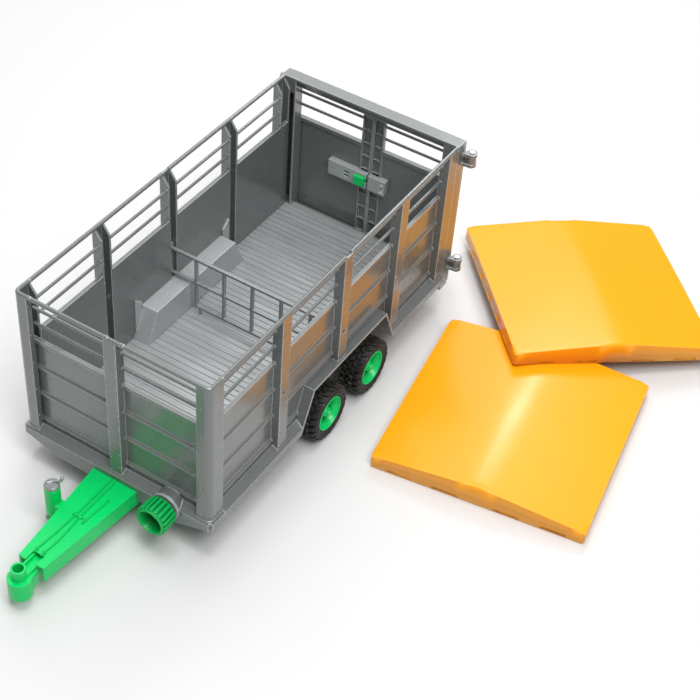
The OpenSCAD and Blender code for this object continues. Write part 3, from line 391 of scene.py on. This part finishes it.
def block(work, low, high, bevel=0.0, segments=2):
    """A box between two opposite corners, with its edges rounded."""
    made = bmesh.ops.create_cube(work, size=1.0)["verts"]
    bmesh.ops.scale(work, vec=high - low, verts=made)
    bmesh.ops.translate(work, vec=(low + high) / 2, verts=made)
    if bevel:
        edges = list({edge for vert in made for edge in vert.link_edges})
        bmesh.ops.bevel(work, geom=edges, offset=bevel, offset_type="OFFSET", segments=segments,
                        profile=0.5, affect="EDGES", material=-1)


def ball(work, centre, radius):
    made = bmesh.ops.create_uvsphere(work, u_segments=16, v_segments=10, radius=radius)["verts"]
    bmesh.ops.translate(work, vec=centre, verts=made)


deck = 31.0
hoses = bmesh.new()
hose_lines = (
    [(4, -1.5), (24, -1.5), (45, -1.6), (66, -2.6), (86, -4)],
    [(4, 2.2), (24, 2.2), (45, 2.2), (58, 3.0), (70, 3.5), (78, 3.1), (86, 2.6)],
    [(22, 9.5), (30, 8.9), (38, 8.2), (46, 7.4)],
)
for line in hose_lines:
    merged(hoses, tube("hose", [place(x, y, deck + 0.32) for x, y in line], 0.00085))
for x, y in ((86, -4), (86, 2.6), (46, 7.4)):
    disc(hoses, place(x, y, deck - 0.2), place(x, y, deck + 1.5), 0.0016, 0.0014, 20)
    ball(hoses, place(x, y, deck + 1.35), 0.00095)
    disc(hoses, place(x, y, deck + 0.6), place(x + 2.9, y, deck + 0.6), 0.0008, 0.0008, 14)
    ball(hoses, place(x + 2.8, y, deck + 0.62), 0.0010)
disc(hoses, place(22, 9.5, deck - 0.2), place(22, 9.5, deck + 1.5), 0.00135, 0.0012, 20)
block(hoses, place(44.2, -3.8, deck - 0.3), place(46.8, 4.2, deck + 1.75), 0.0005)
hose_green = green_plastic("hose_green", 0.0002, (0.0, 0.46, 0.09), (0.0, 0.5, 0.1))
hose_piece = finish_piece(hoses, "drawbar_hose_lines", "trailer", hose_green)
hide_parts("drawbar_hoses")


# ---- Jockey leg and its crank ----
# A grey moulded leg in the green sleeve, and a cap with an S-shaped crank arm that ends
# in a small ball handle.

crank_axis = place(43, -25, 0)
crank_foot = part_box("jockey_crank")[0].z
crank = bmesh.new()
disc(crank, Vector((crank_axis.x, crank_axis.y, crank_foot)),
     Vector((crank_axis.x, crank_axis.y, crank_foot + 0.0022)), 0.0058, 0.0058, 40)
disc(crank, Vector((crank_axis.x, crank_axis.y, crank_foot + 0.0022)),
     Vector((crank_axis.x, crank_axis.y, crank_foot + 0.003)), 0.0058, 0.0050, 40)
outward = Vector((math.cos(math.radians(125)), math.sin(math.radians(125)), 0))
sideways = Vector((-outward.y, outward.x, 0))
base = Vector((crank_axis.x, crank_axis.y, crank_foot + 0.0034))
swing = [base - outward * 0.0032, base + sideways * 0.0012 - outward * 0.0004,
         base + outward * 0.0026 + sideways * 0.0016 + Vector((0, 0, 0.0004)),
         base + outward * 0.0056 + sideways * 0.0003 + Vector((0, 0, 0.0012)),
         base + outward * 0.0076 + Vector((0, 0, 0.0034)), base + outward * 0.008 + Vector((0, 0, 0.0056))]
merged(crank, tube("crank_arm", swing, 0.00115, 12))
ball(crank, base + outward * 0.008 + Vector((0, 0, 0.0053)), 0.0017)
cap_grey = silver_plastic("cap_grey", (0.26, 0.275, 0.28), (0.33, 0.345, 0.35), (0.62, 0.64, 0.65),
                          gloss=(0.25, 0.35), radius=0.0003, metallic=0.25)
crank_piece = finish_piece(crank, "jockey_crank_handle", "crank", cap_grey)
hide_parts("jockey_crank")
paint(cap_grey, "jockey_leg")


# ---- Lowering knob ----
# A large green knob that is open at its front. Its rim is cut into broad rounded ribs,
# and a cross of thin webs inside joins it to the steel shaft.

def spun(work, profile, centre, axis, steps=64):
    """Spins an open or closed line of (along the axis, out from it) pairs into a solid of revolution."""
    side = axis.orthogonal().normalized()
    verts = [work.verts.new(centre + axis * along + side * out) for along, out in profile]
    edges = [work.edges.new((verts[i], verts[(i + 1) % len(verts)])) for i in range(len(verts))]
    bmesh.ops.spin(work, geom=verts + edges, cent=centre, axis=axis, angle=math.tau, steps=steps,
                   use_merge=True, use_duplicate=False)


knob_low, knob_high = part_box("lowering_knob")
knob_centre = Vector((knob_low.x, place(0, 48, 0).y, place(0, 0, 34).z))
knob_axis = Vector((1, 0, 0))
knob_reach = knob_high.x - knob_low.x
knob = bmesh.new()
spun(knob, [(0.0, 0.0100), (0.0006, 0.0108), (0.0016, 0.0111), (0.0158, 0.0120), (knob_reach - 0.0006, 0.0119),
            (knob_reach, 0.0112), (knob_reach, 0.0104), (knob_reach - 0.0008, 0.0099), (0.0042, 0.0093),
            (0.0026, 0.0085), (0.0025, 0.0040), (0.0095, 0.0036), (0.0098, 0.0032), (0.0098, 0.0022),
            (0.0, 0.0022)], knob_centre, knob_axis, 88)
rib_total = 20
for step in range(rib_total):
    rib = bmesh.new()
    block(rib, Vector((0.0012, -0.00135, 0.0100)), Vector((knob_reach - 0.0014, 0.00135, 0.01345)), 0.0007, 3)
    for vert in rib.verts:
        vert.co.z -= 0.0007 * (1 - vert.co.x / knob_reach)
    turn = Matrix.Rotation(math.tau * step / rib_total, 4, knob_axis)
    bmesh.ops.transform(rib, matrix=Matrix.Translation(knob_centre) @ turn, verts=rib.verts)
    merged(knob, rib)
for web in range(4):
    sheet = bmesh.new()
    block(sheet, Vector((0.002, -0.0006, 0.003)), Vector((0.0076, 0.0006, 0.0096)), 0.0002, 1)
    turn = Matrix.Rotation(math.tau * web / 4, 4, knob_axis)
    bmesh.ops.transform(sheet, matrix=Matrix.Translation(knob_centre) @ turn, verts=sheet.verts)
    merged(knob, sheet)
knob_green = green_plastic("knob_green", 0.0003, (0.0, 0.38, 0.075), (0.0, 0.42, 0.085), (0.28, 0.38))
# Painted shade: the inside of the open knob darkens towards deep green.
paint_hollow_shade(knob_green, 0.008, (0.0, 0.09, 0.012))
knob_piece = finish_piece(knob, "lowering_knob_grip", "knob", knob_green)
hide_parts("lowering_knob")


# ---- Tyres ----
# Chunky black rubber-look tyres, moulded in soft plastic. Four rings of slanted tread
# blocks stand on the carcass, and the side walls carry two low rings.

def tyre_rubber():
    made, nodes, links, shader = blank_material("tyre_rubber")
    dust = ramp(nodes, links, noise(nodes, links, 140.0, 5.0), 0.38, 0.7)
    body = mixed(nodes, links, dust, (0.012, 0.0115, 0.011), (0.022, 0.0205, 0.019))
    # Painted highlight: the tread blocks' edges are mixed towards a lighter grey.
    edge_highlight = ramp(nodes, links, edge_share(nodes, links, 0.0005), 0.0, 1.0, 0.0, 0.6)
    body = mixed(nodes, links, edge_highlight, body, (0.075, 0.072, 0.068))
    # Painted shade: the tread grooves and gaps darken to near black.
    open_share = ramp(nodes, links, crevice(nodes, links, 0.0025), 0.35, 0.9)
    body = mixed(nodes, links, open_share, (0.003, 0.003, 0.003), body)
    links.new(body, shader.inputs["Base Color"])
    links.new(ramp(nodes, links, dust, 0.0, 1.0, 0.48, 0.68), shader.inputs["Roughness"])
    shader.inputs["Specular IOR Level"].default_value = 0.45
    surface(nodes, links, shader, 0.0003, 0.3, 0.0001, 1500.0)
    return made


rubber = tyre_rubber()
AXLE = Vector((0, 1, 0))
WHEELS = ("front_left", "front_right", "rear_left", "rear_right")


def wheel_place(name):
    """The wheel's centre and the way its outer side faces."""
    low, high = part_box(name)
    centre = (low + high) / 2
    return centre, Vector((0, 1 if centre.y > 0 else -1, 0)), high.y - low.y, (high.z - low.z) / 2


def tread_block(work, centre, outward, radius, angle, across, slant, length, width, height):
    made = bmesh.ops.create_cube(work, size=1.0)["verts"]
    bmesh.ops.scale(work, vec=(length, width, height), verts=made)
    for vert in made:
        vert.co.x += slant * vert.co.y
        if vert.co.z > 0:
            vert.co.x *= 0.86
            vert.co.y *= 0.9
    edges = [edge for edge in {edge for vert in made for edge in vert.link_edges}
             if all(vert.co.z > 0 for vert in edge.verts)]
    grown = bmesh.ops.bevel(work, geom=edges, offset=0.0003, offset_type="OFFSET", segments=1, profile=0.5,
                            affect="EDGES", material=-1)
    verts = list({vert for face in grown["faces"] for vert in face.verts} | {v for v in made if v.is_valid})
    verts = list({vert for start in verts for face in start.link_faces for vert in face.verts})
    turn = Matrix.Rotation(angle, 4, "Y")
    spot = Matrix.Translation((0, 0, radius - height / 2)) @ Matrix.Translation((0, across, 0))
    flip = Matrix.Scale(-1, 4, AXLE) if outward.y < 0 else Matrix.Identity(4)
    bmesh.ops.transform(work, matrix=Matrix.Translation(centre) @ flip @ turn @ spot, verts=verts)


for place_name in WHEELS:
    centre, outward, width, radius = wheel_place("tyre_" + place_name)
    half = width / 2
    tyre = bmesh.new()
    profile = [(-half + 0.0016, 0.0156), (-half + 0.0006, 0.0168), (-half + 0.0002, 0.0186),
               (-half + 0.0007, 0.0193), (-half, 0.0201), (-half + 0.0005, 0.0209), (-half + 0.0002, 0.0216),
               (-half + 0.0013, 0.0220), (-half + 0.0032, 0.0225), (-half * 0.5, 0.0228), (0, 0.0229),
               (half * 0.5, 0.0228), (half - 0.0032, 0.0225), (half - 0.0013, 0.0220), (half - 0.0002, 0.0216),
               (half - 0.0005, 0.0209), (half, 0.0201), (half - 0.0007, 0.0193), (half - 0.0002, 0.0186),
               (half - 0.0006, 0.0168), (half - 0.0016, 0.0156)]
    spun(tyre, profile, centre, outward, 72)
    around = 22
    tread_rows = ((-0.62, 0.55, 0), (-0.2, -0.6, 0.5), (0.2, 0.6, 0), (0.62, -0.55, 0.5))
    for step in range(around):
        angle = math.tau * step / around
        for row, (across, slant, shift) in enumerate(tread_rows):
            block_width = half * (0.46 if row in (0, 3) else 0.36)
            tread_block(tyre, centre, outward, radius - (0.00012 if row in (1, 2) else 0.0006),
                        angle + shift * math.tau / around, across * half, slant * 0.7, 0.0050, block_width, 0.0030)
        lug = bmesh.ops.create_cube(tyre, size=1.0)["verts"]
        bmesh.ops.scale(tyre, vec=(0.0030, 0.0012, 0.0030), verts=lug)
        copy = bmesh.ops.duplicate(tyre, geom=lug + list({e for v in lug for e in v.link_edges})
                                   + list({f for v in lug for f in v.link_faces}))
        other = [part for part in copy["geom"] if isinstance(part, bmesh.types.BMVert)]
        for verts, side in ((lug, 1), (other, -1)):
            turn = Matrix.Rotation(angle + (0.25 if side > 0 else -0.25) * math.tau / around, 4, "Y")
            bmesh.ops.transform(tyre, matrix=Matrix.Translation(centre) @ turn
                                @ Matrix.Translation((0, side * (half - 0.0012), 0.0217)), verts=verts)
    body = "wheel_" + place_name
    piece = finish_piece(tyre, "tyre_tread_" + place_name, body, rubber, 40)
    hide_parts("tyre_" + place_name)


# ---- Rims and hub caps ----
# Green dished rims with a rolled outer lip, a stepped hub and a ring of small nuts. The
# hub cap presses over the end of the steel axle rod.

rim_green = green_plastic("rim_green", 0.0003, (0.0, 0.62, 0.14), (0.0, 0.66, 0.15), (0.18, 0.24))
# Painted shade: the dish's recess around the hub darkens towards deep green.
paint_hollow_shade(rim_green, 0.007, (0.0, 0.16, 0.025))
for place_name in WHEELS:
    centre, outward, width, _ = wheel_place("tyre_" + place_name)
    half = width / 2
    rim = bmesh.new()
    spun(rim, [(-half + 0.0021, 0.0128), (-half + 0.0021, 0.0154), (half - 0.0016, 0.0154), (half - 0.0009, 0.0151),
               (half - 0.0006, 0.0146), (half - 0.0009, 0.0141), (half - 0.0018, 0.0138), (half - 0.0035, 0.0136),
               (half - 0.0040, 0.0131), (half - 0.0098, 0.0124), (half - 0.0104, 0.0116), (half - 0.0106, 0.0096),
               (half - 0.0104, 0.0066), (half - 0.0094, 0.0061), (half - 0.0066, 0.0058), (half - 0.0062, 0.0053),
               (half - 0.0062, 0.0024), (half - 0.0130, 0.0024), (half - 0.0130, 0.0112), (half - 0.0122, 0.0126)],
         centre, outward, 64)
    for step in range(8):
        angle = math.tau * (step + 0.5) / 8
        spoke = Vector((math.cos(angle), 0, math.sin(angle)))
        spot = centre + spoke * 0.0091 + outward * (half - 0.0107)
        disc(rim, spot, spot + outward * 0.0015, 0.00125, 0.00115, 6)
        disc(rim, spot, spot + outward * 0.0024, 0.00065, 0.00055, 10)
    piece = finish_piece(rim, "rim_dish_" + place_name, "wheel_" + place_name, rim_green, 40)
    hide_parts("rim_" + place_name)
    cap = bmesh.new()
    spun(cap, [(half - 0.0066, 0.0022), (half - 0.0066, 0.0043), (half - 0.0040, 0.0041), (half - 0.0034, 0.0036),
               (half - 0.0032, 0.0029), (half - 0.0016, 0.0027), (half - 0.0011, 0.0022), (half - 0.0010, 0.0),
               (half - 0.0016, 0.0), (half - 0.0016, 0.0018), (half - 0.0060, 0.0022)], centre, outward, 40)
    piece = finish_piece(cap, "hub_nose_" + place_name, "wheel_" + place_name, rim_green, 40)
    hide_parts("hub_cap_" + place_name)


# ---- Roof halves ----
# Two thin orange mouldings. Each has a shallow ridge along its length and a soft cross
# crease, rolled edges, a deep skirt, and small raised catch tabs along the skirt's foot.

def roof_plastic():
    made, nodes, links, shader = blank_material("roof_plastic")
    flow = ramp(nodes, links, noise(nodes, links, 7.0, 3.0), 0.3, 0.7)
    body = mixed(nodes, links, flow, (0.92, 0.345, 0.004), (0.92, 0.37, 0.006))
    # Painted highlight: the rolled edges are mixed towards a paler orange.
    edge_highlight = ramp(nodes, links, edge_share(nodes, links, 0.0012, 0.25), 0.0, 1.0, 0.0, 0.45)
    body = mixed(nodes, links, edge_highlight, body, (1.0, 0.55, 0.12))
    links.new(body, shader.inputs["Base Color"])
    links.new(ramp(nodes, links, noise(nodes, links, 40.0, 5.0), 0.3, 0.7, 0.18, 0.24), shader.inputs["Roughness"])
    shader.inputs["Specular IOR Level"].default_value = 0.35
    surface(nodes, links, shader, 0.0006, 0.1, 0.0001, 600.0)
    return made


ROOF_LENGTH, ROOF_WIDTH, SKIRT, RISE, CREASE = 0.180, 0.178, 0.012, 0.0075, 0.0015
roof_orange = roof_plastic()


def soft_tent(share, softness=0.06):
    """Falls from 1 in the middle to 0 at either edge, with a rounded top."""
    return 1 - (math.sqrt(share * share + softness * softness) - softness) / (
        math.sqrt(1 + softness * softness) - softness)


def roof_shell():
    """One half in its own place: the gable end at x = 0, the ridge along -X, the foot at z = 0."""
    work = bmesh.new()
    bmesh.ops.create_grid(work, x_segments=28, y_segments=28, size=0.5)
    for vert in work.verts:
        along, across = vert.co.x * 2, vert.co.y * 2
        ridge = RISE * soft_tent(across, 0.07)
        cross = CREASE * soft_tent(along, 0.07) * (0.5 + 0.5 * soft_tent(across, 0.1))
        vert.co.x = (vert.co.x - 0.5) * ROOF_LENGTH
        vert.co.y = vert.co.y * ROOF_WIDTH
        vert.co.z = SKIRT + ridge + cross
    rim_edges = [edge for edge in work.edges if edge.is_boundary]
    skirt = bmesh.ops.extrude_edge_only(work, edges=rim_edges)
    foot = [part for part in skirt["geom"] if isinstance(part, bmesh.types.BMVert)]
    for vert in foot:
        vert.co.z = 0.0
    bmesh.ops.bevel(work, geom=rim_edges, offset=0.0024, offset_type="OFFSET", segments=4, profile=0.5,
                    affect="EDGES", material=-1)
    corners = [edge for edge in work.edges if abs(edge.verts[0].co.z - edge.verts[1].co.z) > 0.008
               and all(min(abs(v.co.x), abs(v.co.x + ROOF_LENGTH)) < 1e-4
                       and abs(abs(v.co.y) - ROOF_WIDTH / 2) < 1e-4 for v in edge.verts)]
    if corners:
        bmesh.ops.bevel(work, geom=corners, offset=0.0022, offset_type="OFFSET", segments=4, profile=0.5,
                        affect="EDGES", material=-1)
    return work


def catch_pockets(work):
    """Low raised tabs along the foot of the skirt, four on the gable end and five on each side."""
    for y in (-0.064, -0.0255, 0.0255, 0.064):
        for x in (-0.0002, -ROOF_LENGTH + 0.0002):
            block(work, Vector((x - 0.0006, y - 0.011, 0.0004)),
                  Vector((x + 0.0002, y + 0.011, 0.0034)), 0.0003, 1)
    for step in range(1, 6):
        for side in (-1, 1):
            x = -step * ROOF_LENGTH / 6
            y = side * (ROOF_WIDTH / 2 - 0.0002)
            block(work, Vector((x - 0.005, y - 0.0006, 0.0004)),
                  Vector((x + 0.005, y + 0.0002, 0.0028)), 0.0003, 1)


def turned(x, y, z, steps):
    made = Matrix.Translation(place(x, y, z))
    for kind, amount in steps:
        made = made @ (Matrix.Translation(amount) if kind == "move"
                       else Matrix.Rotation(math.radians(amount), 4, kind))
    return made


near_place = turned(-146, 136, 0, (("Z", 8.6), ("move", (0, ROOF_WIDTH / 2, 0))))
far_place = turned(-546, 197, 0, (("Z", 41.6 - 45), ("Y", -4.93), ("Z", 45),
                                  ("move", (ROOF_LENGTH, -ROOF_WIDTH / 2, 0))))
for name, body, where in (("roof_near", "roof_near", near_place), ("roof_far", "roof_far", far_place)):
    shell = roof_shell()
    bmesh.ops.transform(shell, matrix=where, verts=shell.verts)
    piece = finish_piece(shell, name + "_shell", body, roof_orange, 60,
                         (("SOLIDIFY", {"thickness": 0.0019, "offset": -1}),))
    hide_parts(name)
    tabs = bmesh.new()
    catch_pockets(tabs)
    bmesh.ops.transform(tabs, matrix=where, verts=tabs.verts)
    finish_piece(tabs, name + "_catches", body, roof_orange, 60)


# ---- Dividing gate ----
# Round-edged grey rods moulded in one piece, with flat guide plates that slide in the
# middle posts' channels.

gate_grey = silver_plastic("gate_grey", (0.2, 0.213, 0.215), (0.23, 0.245, 0.248), (0.62, 0.64, 0.65),
                           gloss=(0.24, 0.3), radius=0.0009)
paint(gate_grey, "divider_gate")


# ---- Running gear under the floor, and steel parts ----
# Dark matt plastic chassis rails and axle carriage. The rods, guide pins, hinge pins,
# pinion shaft and screws are bright steel.

def dark_plastic():
    made, nodes, links, shader = blank_material("dark_plastic")
    cloud = ramp(nodes, links, noise(nodes, links, 90.0, 5.0), 0.35, 0.65)
    body = mixed(nodes, links, cloud, (0.045, 0.047, 0.048), (0.07, 0.072, 0.074))
    # Painted highlight: edges are mixed towards a lighter grey.
    edge_highlight = ramp(nodes, links, edge_share(nodes, links, 0.0005), 0.0, 1.0, 0.0, 0.6)
    body = mixed(nodes, links, edge_highlight, body, (0.16, 0.165, 0.17))
    links.new(body, shader.inputs["Base Color"])
    links.new(ramp(nodes, links, cloud, 0.0, 1.0, 0.5, 0.64), shader.inputs["Roughness"])
    surface(nodes, links, shader, 0.0005, 0.3, 0.0001, 900.0)
    return made


def bright_steel():
    made, nodes, links, shader = blank_material("bright_steel")
    drawn = ramp(nodes, links, noise(nodes, links, 420.0, 4.0, (1, 0.06, 1)), 0.3, 0.7)
    body = mixed(nodes, links, drawn, (0.52, 0.53, 0.55), (0.68, 0.69, 0.7))
    links.new(body, shader.inputs["Base Color"])
    links.new(ramp(nodes, links, drawn, 0.0, 1.0, 0.22, 0.36), shader.inputs["Roughness"])
    shader.inputs["Metallic"].default_value = 1.0
    surface(nodes, links, shader, 0.0002, 0.1, 0.0001, 1200.0)
    return made


paint(dark_plastic(), "chassis", "axle_carriage", "lowering_rack")
paint(bright_steel(), "axle_rod_front", "axle_rod_rear", "guide_pins", "hinge_pins_left", "hinge_pins_right",
      "chassis_screws", "lowering_shaft", "bolt_keeper")


bpy.context.view_layer.update()
